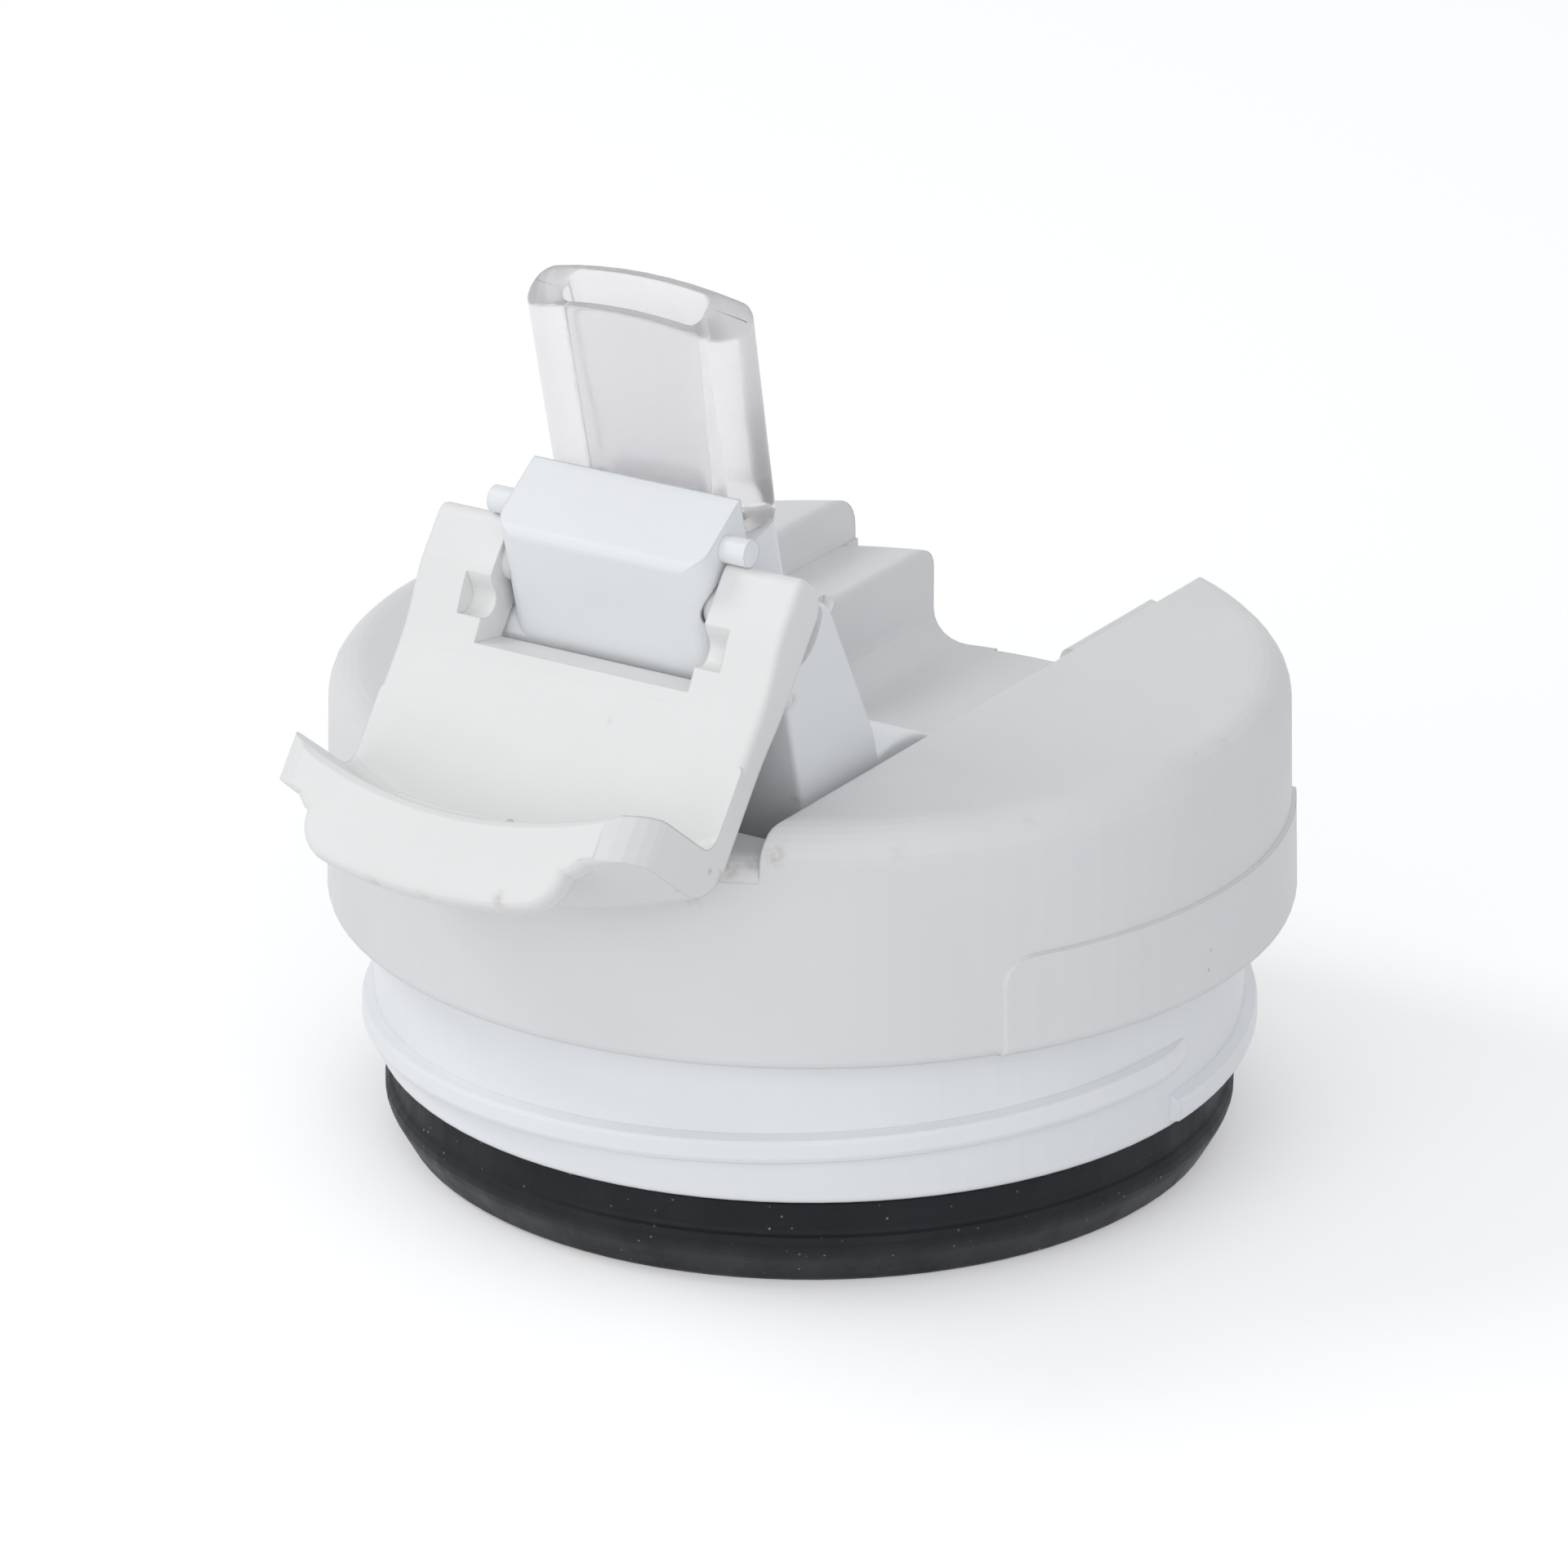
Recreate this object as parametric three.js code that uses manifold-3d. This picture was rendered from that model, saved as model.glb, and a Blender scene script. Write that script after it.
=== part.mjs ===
// Screw-in tumbler lid with a folding spout, shown open: the spout stands up and its lever leans on the
// front rim.
// Millimetres, +Z up. The origin is on the axis of the screw neck, on the plane that the lid stands on.
// +Y points to the back, where the spout folds to, and +X to the right of someone who faces along +Y.

import * as THREE from 'three';
import { mergeVertices } from 'three/addons/utils/BufferGeometryUtils.js';
import Module from 'manifold-3d';

// Driving dimensions of the cap
const SKIRT_R = 45;
const SKIRT_TOP_R = 44.5;
const SKIRT_BOTTOM_Z = 23.6;
const CAP_TOP_Z = 46.2;
const CAP_EDGE_R = 3.5;
const SKIRT_HEM_R = 0.8;
const CRESCENT_WALL = 3.4;
const SPIGOT_RING_WALL = 2;
const SPIGOT_RING_DEPTH = 4;

// Channel that the spout and the lever fold into
const CHANNEL_HALF = 20;
const CHANNEL_EDGE_R = 0.7;
const FRONT_LEDGE_DROP = 2.9;
const FRONT_LEDGE_DEPTH = 9.5;
const FRONT_LEDGE_EDGE_R = 2.1;
const REAR_LEDGE_DROP = 4.9;
const REAR_LEDGE_START_Y = 17.3;
const REAR_LEDGE_DIP_Y = 16.5;
const REAR_LEDGE_LEVEL_Y = 23.6;
const REAR_LEDGE_DIP = 3.1;
const TROUGH_HALF = 12.6;
const TROUGH_FLOOR_Z = 31.2;
const TROUGH_FILLET = 3.4;
const DECK_WALL = 3;
const LATCH_RECESS_R = 44.3;
const LATCH_RECESS_HALF = 19.8;
const LATCH_RECESS_Z = 28.5;
const LATCH_EDGE_R = 2.4;

// Hinges, in the folded state: the lean is how far the spout swings past upright when it opens
const SPOUT_HINGE_Y = -14.3;
const SPOUT_HINGE_Z = 33.6;
const SPOUT_LEAN_DEG = 14;
const LEVER_HINGE_ALONG = 32.37;
const LEVER_HINGE_ABOVE = 9.55;
const LEVER_OPEN_DEG = 128.4;

// Spout carrier: a drum that turns in the cap, an arm, and the block that holds the mouthpiece
const DRUM_R = 12.4;
const DRUM_CLEARANCE = 0.4;
const ARM_HALF = 18.3;
const ARM_FACE_END = 26.3;
const ARM_TIP_ALONG = 30.6;
const ARM_TIP_ABOVE = 4.0;
const ARM_EDGE_R = 0.5;
const BLOCK_HALF = 10.9;
const BLOCK_BACK = -1.8;
const BLOCK_SEAT_ALONG = 35.5;
const COWL_ALONG = 40.3;
const COWL_CREASE_ALONG = 37.8;
const BLOCK_FRONT_CORNER_R = 2.2;
const BLOCK_BACK_CORNER_R = 2.8;
const TRUNNION_R = 3;
const SNAP_PIN_R = 1.25;
const SNAP_PIN_LENGTH = 2.7;
const SNAP_PIN_ALONG = 37.2;
const SNAP_PIN_ABOVE = 7.85;

// Clear mouthpiece
const MOUTH_HALF = 10.9;
const MOUTH_BACK = -1.8;
const MOUTH_FRONT = 4.3;
const MOUTH_TIP_GAP = 0.9;
const MOUTH_TIP_SLANT = 0.8;
const MOUTH_BORE_HALF = 6.5;
const MOUTH_BORE_BACK = -0.8;
const MOUTH_BORE_FRONT = 3;
const SPIGOT_HALF = 7.6;
const SPIGOT_BACK = -0.9;
const SPIGOT_FRONT = 3.1;
const SPIGOT_LENGTH = 4.5;
const SPIGOT_WALL = 0.8;

// Lever
const LEVER_HALF = 19.2;
const EAR_INNER = 11.3;
const HEAD_HALF_THICKNESS = 2.5;
const HEAD_REACH = 3.45;
const PLATE_TOP = 2;
const PLATE_UNDER = 1.2;
const NOTCH_BOTTOM = 7.2;
const LEG_THICKNESS = 4;
const LEG_DROP = 14.2;
const LEG_SHOULDER_R = 4.6;
const LEG_CORNER_R = 5;
const LIP_HALF = 13.6;
const LIP_REACH = 7.8;
const LIP_THICKNESS = 2.8;
const LIP_CORNER_R = 4;
const LEVER_BOSS_R = 1.95;
const BEAD_HALF = 5.8;
const BEAD_R = 0.9;
const BEAD_PROUD = 0.6;
const BEAD_UP = 1.9;

// Screw neck, its thread and its gasket
const NECK_R = 40.8;
const NECK_BOTTOM_Z = 8.8;
const NECK_WALL = 3.3;
const PLUG_FLOOR = 2.5;
const PLUG_FOOT_R = 34;
const PLUG_BARB = 0.9;
const PLUG_STEP_Z = 12;
const RIDGE_HEIGHT = 1.25;
const RIDGE_HALF_WIDTH = 1.4;
const RIDGE_LEAD = 10;
const RIDGE_SWEEP_DEG = 188;
const RIDGE_START_DEG = -4;
const RIDGE_START_Z = 10.9;
const RIDGE_STARTS = 2;
const GASKET_LIP_R = 40;
const GASKET_FOOT_R = 38.3;
const GASKET_NECK_R = 39.2;
const PORT_R = 4;
const PORT_WALL = 2.2;
const SEAL_R = 6.5;
const SEAL_DEPTH = 1.7;

// Bare raised panel on the right of the skirt
const PANEL_HALF_DEG = 35.2;
const PANEL_TOP_Z = 32.9;
const PANEL_PROUD = 0.45;
const PANEL_CORNER_R = 2.6;

// Clearances and steps
const GAP = 0.3;
const PIN_GAP = 0.35;
const ROUND_STEPS = 96;
const ARC_STEPS = 6;
const BIG = 120;

const rad = THREE.MathUtils.degToRad;
const wasm = await Module();
wasm.setup();

// Turns a closed geometry into a solid
function solidOf(geometry) {
  geometry.deleteAttribute('normal');
  geometry.deleteAttribute('uv');
  const merged = mergeVertices(geometry, 1e-4);
  return new wasm.Manifold(new wasm.Mesh({
    numProp: 3,
    vertProperties: new Float32Array(merged.attributes.position.array),
    triVerts: new Uint32Array(merged.index.array),
  }));
}

// Turns a solid into a named mesh
function meshOf(name, solid, material) {
  const { vertProperties, triVerts } = solid.getMesh();
  const geometry = new THREE.BufferGeometry();
  geometry.setAttribute('position', new THREE.BufferAttribute(new Float32Array(vertProperties), 3));
  geometry.setIndex(new THREE.BufferAttribute(new Uint32Array(triVerts), 1));
  geometry.computeVertexNormals();
  const mesh = new THREE.Mesh(geometry, material);
  mesh.name = name;
  return mesh;
}

// Maps a shape's own x, y and depth onto the three axes named, in a right-handed order
const AXES = {
  x: new THREE.Vector3(1, 0, 0),
  y: new THREE.Vector3(0, 1, 0),
  z: new THREE.Vector3(0, 0, 1),
  minusX: new THREE.Vector3(-1, 0, 0),
};

function prism(shape, axes, from, to, bevel = 0) {
  const geometry = new THREE.ExtrudeGeometry(shape, {
    depth: to - from - 2 * bevel,
    bevelEnabled: bevel > 0,
    bevelThickness: bevel,
    bevelSize: bevel,
    bevelOffset: -bevel,
    bevelSegments: 3,
    curveSegments: ARC_STEPS,
    steps: 1,
  });
  geometry.translate(0, 0, from + bevel);
  geometry.applyMatrix4(new THREE.Matrix4().makeBasis(...axes.map((axis) => AXES[axis])));
  return solidOf(geometry);
}

// A profile in (y, z), carried along x
const alongX = (shape, from, to, bevel) => prism(shape, ['y', 'z', 'x'], from, to, bevel);

// A profile in (-x, z), carried along y: the profiles used are the same left and right
const alongY = (shape, from, to, bevel) => prism(shape, ['minusX', 'z', 'y'], from, to, bevel);

// A plan in (x, y), carried along z
const alongZ = (shape, from, to, bevel) => prism(shape, ['x', 'y', 'z'], from, to, bevel);

// A round bar along x, centred on (y, z)
function barX(radius, y, z, from, to, steps = 32) {
  const geometry = new THREE.CylinderGeometry(radius, radius, to - from, steps);
  geometry.rotateZ(Math.PI / 2);
  geometry.translate((from + to) / 2, y, z);
  return solidOf(geometry);
}

// A round bar along z, centred on (x, y)
function barZ(radius, x, y, from, to, steps = 40) {
  const geometry = new THREE.CylinderGeometry(radius, radius, to - from, steps);
  geometry.rotateX(Math.PI / 2);
  geometry.translate(x, y, (from + to) / 2);
  return solidOf(geometry);
}

// Points of an arc round (cx, cy), its ends included
function arc(cx, cy, radius, fromDeg, toDeg, steps = ARC_STEPS) {
  return Array.from({ length: steps + 1 }, (_, i) => {
    const angle = rad(fromDeg + ((toDeg - fromDeg) * i) / steps);
    return new THREE.Vector2(cx + radius * Math.cos(angle), cy + radius * Math.sin(angle));
  });
}

const at = (x, y) => new THREE.Vector2(x, y);

// A profile of (radius, height) points, turned about the z axis
function turned(points, steps = ROUND_STEPS) {
  const geometry = new THREE.LatheGeometry(points, steps);
  geometry.rotateX(Math.PI / 2);
  return solidOf(geometry);
}

function polygon(points) {
  return new THREE.Shape(points);
}

function rectangle(x0, x1, y0, y1) {
  return polygon([at(x0, y0), at(x1, y0), at(x1, y1), at(x0, y1)]);
}

// A rectangle whose lower and upper corners have radii of their own
function roundedRectangle(x0, x1, y0, y1, lowerR, upperR) {
  return polygon([
    ...arc(x0 + lowerR, y0 + lowerR, lowerR, 180, 270),
    ...arc(x1 - lowerR, y0 + lowerR, lowerR, 270, 360),
    ...arc(x1 - upperR, y1 - upperR, upperR, 0, 90),
    ...arc(x0 + upperR, y1 - upperR, upperR, 90, 180),
  ]);
}

const both = (build) => build(1).add(build(-1));

// The same on both sides: a bar along x between two distances from the middle plane
function barPair(radius, y, z, inner, outer, steps) {
  return both((side) => {
    const ends = [side * inner, side * outer];
    return barX(radius, y, z, Math.min(...ends), Math.max(...ends), steps);
  });
}

// Derived places
const DRUM_SPACE_R = DRUM_R + DRUM_CLEARANCE;
const WELL_FLOOR_Z = SPOUT_HINGE_Z - DRUM_SPACE_R;
const REAR_LEDGE_Z = CAP_TOP_Z - REAR_LEDGE_DROP;
const FRONT_LEDGE_Z = CAP_TOP_Z - FRONT_LEDGE_DROP;
const FRONT_LEDGE_BACK_Y = -SKIRT_TOP_R + FRONT_LEDGE_DEPTH;
const LEVER_HINGE_Y = SPOUT_HINGE_Y + LEVER_HINGE_ALONG;
const LEVER_HINGE_Z = SPOUT_HINGE_Z + LEVER_HINGE_ABOVE;
const BEAD_Z = LEVER_HINGE_Z - LEG_DROP + BEAD_UP;
const LEG_INNER_R = LATCH_RECESS_R + GAP;
const SOCKET_DEPTH = 1.9;
const BOSS_OUTER = CHANNEL_HALF + SOCKET_DEPTH + 1.2;
const BOSS_R = DRUM_SPACE_R + DECK_WALL;
const SPIGOT_RING_R = NECK_R - NECK_WALL - GAP;
const PORT_Y = SPOUT_HINGE_Y + DRUM_R * Math.sin(rad(SPOUT_LEAN_DEG)) - (SPIGOT_BACK + SPIGOT_FRONT) / 2;
const SEAL_SEAT_Z = WELL_FLOOR_Z - SEAL_DEPTH;

function capOutline() {
  return [
    at(0, SKIRT_BOTTOM_Z),
    at(SPIGOT_RING_R - SPIGOT_RING_WALL, SKIRT_BOTTOM_Z),
    at(SPIGOT_RING_R - SPIGOT_RING_WALL, SKIRT_BOTTOM_Z - SPIGOT_RING_DEPTH),
    at(SPIGOT_RING_R, SKIRT_BOTTOM_Z - SPIGOT_RING_DEPTH),
    at(SPIGOT_RING_R, SKIRT_BOTTOM_Z),
    ...arc(SKIRT_R - SKIRT_HEM_R, SKIRT_BOTTOM_Z + SKIRT_HEM_R, SKIRT_HEM_R, -90, 0, 3),
    ...arc(SKIRT_TOP_R - CAP_EDGE_R, CAP_TOP_Z - CAP_EDGE_R, CAP_EDGE_R, 0, 90, 7),
    at(0, CAP_TOP_Z),
  ];
}

// Rooms inside the two crescents, open below: they leave the walls, the top and a flange
function crescentRooms() {
  const innerR = SKIRT_R - CRESCENT_WALL;
  const roof = CAP_TOP_Z - CRESCENT_WALL;
  const round = turned([
    at(0, SKIRT_BOTTOM_Z - 1),
    at(SPIGOT_RING_R - SPIGOT_RING_WALL - GAP, SKIRT_BOTTOM_Z - 1),
    at(SPIGOT_RING_R - SPIGOT_RING_WALL - GAP, SKIRT_BOTTOM_Z + DECK_WALL),
    at(innerR, SKIRT_BOTTOM_Z + DECK_WALL),
    at(innerR - 0.3, roof - 2),
    at(innerR - 1, roof - 0.6),
    at(innerR - 2.6, roof),
    at(0, roof),
  ]);
  return both((side) => round.intersect(alongX(
    rectangle(-BIG, BIG, -BIG, BIG),
    side > 0 ? BOSS_OUTER + GAP : -BIG,
    side > 0 ? BIG : -BOSS_OUTER - GAP,
  )));
}

// Raised panel: a band of the skirt seen through a rounded window
function panel() {
  const band = turned([
    at(SKIRT_R - 3, SKIRT_BOTTOM_Z + 0.5),
    ...arc(SKIRT_R + PANEL_PROUD - SKIRT_HEM_R, SKIRT_BOTTOM_Z + SKIRT_HEM_R, SKIRT_HEM_R, -90, 0, 3),
    at(SKIRT_R + PANEL_PROUD - 0.25, PANEL_TOP_Z),
    at(SKIRT_R - 3, PANEL_TOP_Z),
    at(SKIRT_R - 3, SKIRT_BOTTOM_Z + 0.5),
  ], ROUND_STEPS + 8);
  const halfWidth = SKIRT_R * Math.sin(rad(PANEL_HALF_DEG));
  const window = polygon([
    at(-halfWidth, SKIRT_BOTTOM_Z - 1),
    at(halfWidth, SKIRT_BOTTOM_Z - 1),
    ...arc(halfWidth - PANEL_CORNER_R, PANEL_TOP_Z - PANEL_CORNER_R, PANEL_CORNER_R, 0, 90),
    ...arc(-halfWidth + PANEL_CORNER_R, PANEL_TOP_Z - PANEL_CORNER_R, PANEL_CORNER_R, 90, 180),
  ]);
  return band.intersect(alongX(window, 0, BIG));
}

// Section of the channel above a floor, its top edges rounded off outwards
function channelSection(half, floorZ, filletR, topZ, edgeR) {
  return polygon([
    ...arc(-half + filletR, floorZ + filletR, filletR, 180, 270),
    ...arc(half - filletR, floorZ + filletR, filletR, 270, 360),
    ...arc(half + edgeR, topZ - edgeR, edgeR, 180, 90, 4),
    at(half + edgeR, BIG),
    at(-half - edgeR, BIG),
    ...arc(-half - edgeR, topZ - edgeR, edgeR, 90, 0, 4),
  ]);
}

// Everything that is open between the two crescents of the cap
function channel() {
  const opening = alongY(
    channelSection(CHANNEL_HALF, FRONT_LEDGE_Z, 0.4, CAP_TOP_Z, CHANNEL_EDGE_R),
    -SKIRT_R - 5,
    SKIRT_R + 5,
  );
  const well = alongX(
    rectangle(FRONT_LEDGE_BACK_Y, REAR_LEDGE_START_Y, TROUGH_FLOOR_Z, FRONT_LEDGE_Z + 1),
    -CHANNEL_HALF,
    CHANNEL_HALF,
  );
  const drumSpace = barX(DRUM_SPACE_R, SPOUT_HINGE_Y, SPOUT_HINGE_Z, -CHANNEL_HALF, CHANNEL_HALF, 72)
    .intersect(alongX(rectangle(-BIG, BIG, 0, TROUGH_FLOOR_Z + 3), -BIG, BIG));
  const trough = alongY(
    channelSection(TROUGH_HALF, TROUGH_FLOOR_Z, TROUGH_FILLET, REAR_LEDGE_Z, CHANNEL_EDGE_R),
    REAR_LEDGE_START_Y - 1,
    SKIRT_R + 5,
  ).intersect(alongX(rectangle(0, BIG, 0, REAR_LEDGE_Z + 1), -BIG, BIG));
  const aboveLedges = alongX(
    rectangle(REAR_LEDGE_START_Y - 1, SKIRT_R + 5, REAR_LEDGE_Z, FRONT_LEDGE_Z + 1),
    -CHANNEL_HALF,
    CHANNEL_HALF,
  );
  const dip = new THREE.Shape();
  dip.moveTo(REAR_LEDGE_DIP_Y, REAR_LEDGE_Z - REAR_LEDGE_DIP);
  dip.bezierCurveTo(
    REAR_LEDGE_DIP_Y + 2.6, REAR_LEDGE_Z - REAR_LEDGE_DIP + 0.4,
    REAR_LEDGE_LEVEL_Y - 2.2, REAR_LEDGE_Z - 0.35,
    REAR_LEDGE_LEVEL_Y, REAR_LEDGE_Z,
  );
  dip.lineTo(REAR_LEDGE_LEVEL_Y, REAR_LEDGE_Z + 1);
  dip.lineTo(REAR_LEDGE_DIP_Y, REAR_LEDGE_Z + 1);
  return opening
    .add(well)
    .add(drumSpace)
    .add(trough)
    .add(aboveLedges)
    .add(alongX(dip, -CHANNEL_HALF, CHANNEL_HALF))
    .add(pinNotches())
    .add(frontLedgeEdge());
}

// Rounding of the front ledge where it meets the skirt
function frontLedgeEdge() {
  const outside = turned([
    ...arc(
      SKIRT_TOP_R - FRONT_LEDGE_EDGE_R, FRONT_LEDGE_Z - FRONT_LEDGE_EDGE_R,
      FRONT_LEDGE_EDGE_R, 90, 0, 5,
    ),
    at(SKIRT_R + 5, FRONT_LEDGE_Z - FRONT_LEDGE_EDGE_R),
    at(SKIRT_R + 5, FRONT_LEDGE_Z + 1),
    at(SKIRT_TOP_R - FRONT_LEDGE_EDGE_R, FRONT_LEDGE_Z + 1),
    at(SKIRT_TOP_R - FRONT_LEDGE_EDGE_R, FRONT_LEDGE_Z),
  ]);
  return outside.intersect(alongX(rectangle(-BIG, FRONT_LEDGE_BACK_Y, 0, BIG), -CHANNEL_HALF, CHANNEL_HALF));
}

// Shallow recess at the back that the leg of the lever closes over
function latchRecess() {
  const outside = turned([
    at(LATCH_RECESS_R, LATCH_RECESS_Z),
    at(SKIRT_R + 5, LATCH_RECESS_Z),
    at(SKIRT_R + 5, REAR_LEDGE_Z + 1),
    at(LATCH_RECESS_R - LATCH_EDGE_R, REAR_LEDGE_Z + 1),
    ...arc(LATCH_RECESS_R - LATCH_EDGE_R, REAR_LEDGE_Z - LATCH_EDGE_R, LATCH_EDGE_R, 90, 0, 5),
    at(LATCH_RECESS_R, LATCH_RECESS_Z),
  ], ROUND_STEPS + 14);
  return outside.intersect(alongX(rectangle(0, BIG, 0, BIG), -LATCH_RECESS_HALF, LATCH_RECESS_HALF));
}

// Notches in the rear ledges that let the snap pins down when the spout is folded
function pinNotches() {
  const radius = SNAP_PIN_R + PIN_GAP;
  const y = SPOUT_HINGE_Y + SNAP_PIN_ALONG;
  const z = SPOUT_HINGE_Z + SNAP_PIN_ABOVE;
  const reach = BLOCK_HALF + SNAP_PIN_LENGTH + PIN_GAP;
  const notch = polygon([
    ...arc(y, z, radius, 180, 360, 12),
    at(y + radius, CAP_TOP_Z),
    at(y - radius, CAP_TOP_Z),
  ]);
  return alongX(notch, -reach, reach);
}

// Groove behind the skirt that the bead of the lever snaps into
function beadGroove() {
  const section = arc(LEG_INNER_R + BEAD_R - BEAD_PROUD, BEAD_Z, BEAD_R + GAP, 0, 360, 16);
  const groove = turned(section, ROUND_STEPS + 26);
  return groove.intersect(alongY(rectangle(-BEAD_HALF - GAP, BEAD_HALF + GAP, 0, BIG), 0, BIG));
}

function capBody() {
  const belly = barX(BOSS_R, SPOUT_HINGE_Y, SPOUT_HINGE_Z, -BOSS_OUTER, BOSS_OUTER, 72)
    .intersect(alongX(rectangle(-BIG, BIG, 0, TROUGH_FLOOR_Z), -BIG, BIG));
  const sockets = barPair(
    TRUNNION_R + PIN_GAP, SPOUT_HINGE_Y, SPOUT_HINGE_Z,
    CHANNEL_HALF - 1, CHANNEL_HALF + SOCKET_DEPTH,
  );
  return turned(capOutline())
    .add(panel())
    .add(belly)
    .subtract(crescentRooms())
    .subtract(channel())
    .subtract(sockets)
    .subtract(barZ(SEAL_R + GAP, 0, PORT_Y, SEAL_SEAT_Z, SPOUT_HINGE_Z))
    .subtract(barZ(PORT_R, 0, PORT_Y, 0, SPOUT_HINGE_Z))
    .subtract(latchRecess())
    .subtract(beadGroove());
}

// Path of one thread ridge: a rising turn that runs out into the wall at its end
class RidgePath extends THREE.Curve {
  constructor(startDeg) {
    super();
    this.startDeg = startDeg;
  }

  getPoint(t, target = new THREE.Vector3()) {
    const angle = rad(this.startDeg + RIDGE_SWEEP_DEG * t);
    const runOut = Math.max(0, t - 0.93) / 0.07;
    const radius = NECK_R - 2 * RIDGE_HEIGHT * runOut * runOut;
    const z = RIDGE_START_Z + (RIDGE_LEAD * RIDGE_SWEEP_DEG * t) / 360;
    return target.set(radius * Math.cos(angle), radius * Math.sin(angle), z);
  }
}

function threadRidge(startDeg) {
  const section = polygon([
    at(-RIDGE_HALF_WIDTH - 0.2, 0.8),
    at(RIDGE_HALF_WIDTH + 0.2, 0.8),
    at(RIDGE_HALF_WIDTH, -0.2),
    at(0.75 * RIDGE_HALF_WIDTH, -0.85 * RIDGE_HEIGHT),
    at(0.45 * RIDGE_HALF_WIDTH, -RIDGE_HEIGHT),
    at(-0.45 * RIDGE_HALF_WIDTH, -RIDGE_HEIGHT),
    at(-0.75 * RIDGE_HALF_WIDTH, -0.85 * RIDGE_HEIGHT),
    at(-RIDGE_HALF_WIDTH, -0.2),
  ]);
  return solidOf(new THREE.ExtrudeGeometry(section, {
    steps: 64,
    bevelEnabled: false,
    extrudePath: new RidgePath(startDeg),
  }));
}

function threadedPlug() {
  const innerR = NECK_R - NECK_WALL;
  const topZ = SKIRT_BOTTOM_Z - GAP;
  const portTopZ = SPOUT_HINGE_Z - BOSS_R - GAP;
  let plug = turned([
    at(0, 0),
    at(PLUG_FOOT_R, 0),
    at(PLUG_FOOT_R, 1.2),
    at(PLUG_FOOT_R + PLUG_BARB, 2),
    at(PLUG_FOOT_R + PLUG_BARB, 3.2),
    at(PLUG_FOOT_R, 3.8),
    at(PLUG_FOOT_R, NECK_BOTTOM_Z),
    ...arc(NECK_R - 0.6, NECK_BOTTOM_Z + 0.6, 0.6, -90, 0, 3),
    at(NECK_R, topZ),
    at(innerR, topZ),
    at(innerR, PLUG_STEP_Z),
    at(PLUG_FOOT_R - PLUG_FLOOR, PLUG_STEP_Z),
    at(PLUG_FOOT_R - PLUG_FLOOR, PLUG_FLOOR),
    at(0, PLUG_FLOOR),
  ]);
  plug = plug.add(barZ(PORT_R + PORT_WALL, 0, PORT_Y, 0, portTopZ));
  for (let start = 0; start < RIDGE_STARTS; start += 1) {
    plug = plug.add(threadRidge(RIDGE_START_DEG + (start * 360) / RIDGE_STARTS));
  }
  return plug.subtract(barZ(PORT_R, 0, PORT_Y, -1, portTopZ + 1));
}

// Black double-lip gasket round the foot of the plug
function plugGasket() {
  const bore = PLUG_FOOT_R + GAP;
  const top = NECK_BOTTOM_Z - GAP;
  return turned([
    at(bore, 0),
    at(GASKET_FOOT_R - 0.5, 0),
    at(GASKET_FOOT_R, 0.4),
    at(GASKET_LIP_R - 0.25, 3),
    at(GASKET_LIP_R, 3.7),
    at(GASKET_LIP_R, 4.5),
    at(GASKET_LIP_R - 0.3, 5),
    at(GASKET_NECK_R + 0.2, 5.2),
    at(GASKET_NECK_R + 0.1, 5.6),
    at(GASKET_NECK_R, top - 0.4),
    at(GASKET_NECK_R - 0.4, top),
    at(bore, top),
    at(bore, 3.8 + GAP),
    at(bore + PLUG_BARB, 3.2 + GAP),
    at(bore + PLUG_BARB, 2 - GAP),
    at(bore, 1.2 - GAP),
    at(bore, 0),
  ]);
}

// Silicone seat under the drum, hollowed to the drum's own curve
function seatSeal() {
  return barZ(SEAL_R, 0, PORT_Y, SEAL_SEAT_Z, SPOUT_HINGE_Z - DRUM_R / 2)
    .subtract(barZ(PORT_R, 0, PORT_Y, 0, SPOUT_HINGE_Z))
    .subtract(barX(DRUM_R + GAP, SPOUT_HINGE_Y, SPOUT_HINGE_Z, -BIG, BIG, 96));
}

// Side view of the carrier's arm and drum, folded, from the spout hinge
function armProfile() {
  return polygon([
    ...arc(0, 0, DRUM_R, 90, 360, 48),
    at(DRUM_R + 2.6, 0.1),
    at(ARM_TIP_ALONG - 0.4, ARM_TIP_ABOVE - 0.2),
    at(ARM_TIP_ALONG + 0.4, ARM_TIP_ABOVE + 0.4),
    at(ARM_TIP_ALONG + 0.6, ARM_TIP_ABOVE + 1.4),
    at(ARM_FACE_END + 2.4, DRUM_R - 3),
    at(ARM_FACE_END + 1.1, DRUM_R - 1),
    at(ARM_FACE_END, DRUM_R),
  ]);
}

// The block: its plan is rounded, and its side view slopes at the front of the mouthpiece
function block() {
  const cowlInner = MOUTH_FRONT + GAP;
  const plan = roundedRectangle(
    -BLOCK_HALF, BLOCK_HALF, BLOCK_BACK, DRUM_R,
    BLOCK_BACK_CORNER_R, BLOCK_FRONT_CORNER_R,
  );
  const side = polygon([
    at(DRUM_R, BLOCK_BACK),
    at(BLOCK_SEAT_ALONG, BLOCK_BACK),
    at(BLOCK_SEAT_ALONG, cowlInner),
    at(COWL_ALONG, cowlInner),
    at(COWL_ALONG - 0.2, cowlInner + 0.7),
    ...arc(COWL_CREASE_ALONG - 1.1, DRUM_R - 1.1, 1.1, 17, 90, 4),
    at(DRUM_R, DRUM_R),
  ]);
  return alongY(plan, 0, COWL_ALONG + 5).intersect(alongX(side, -BLOCK_HALF - 1, BLOCK_HALF + 1));
}

// An upright slot of rounded section, along the spout
function slot(half, back, front, from, to, cornerR) {
  return alongY(roundedRectangle(-half, half, back, front, cornerR, cornerR), from, to);
}

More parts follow.
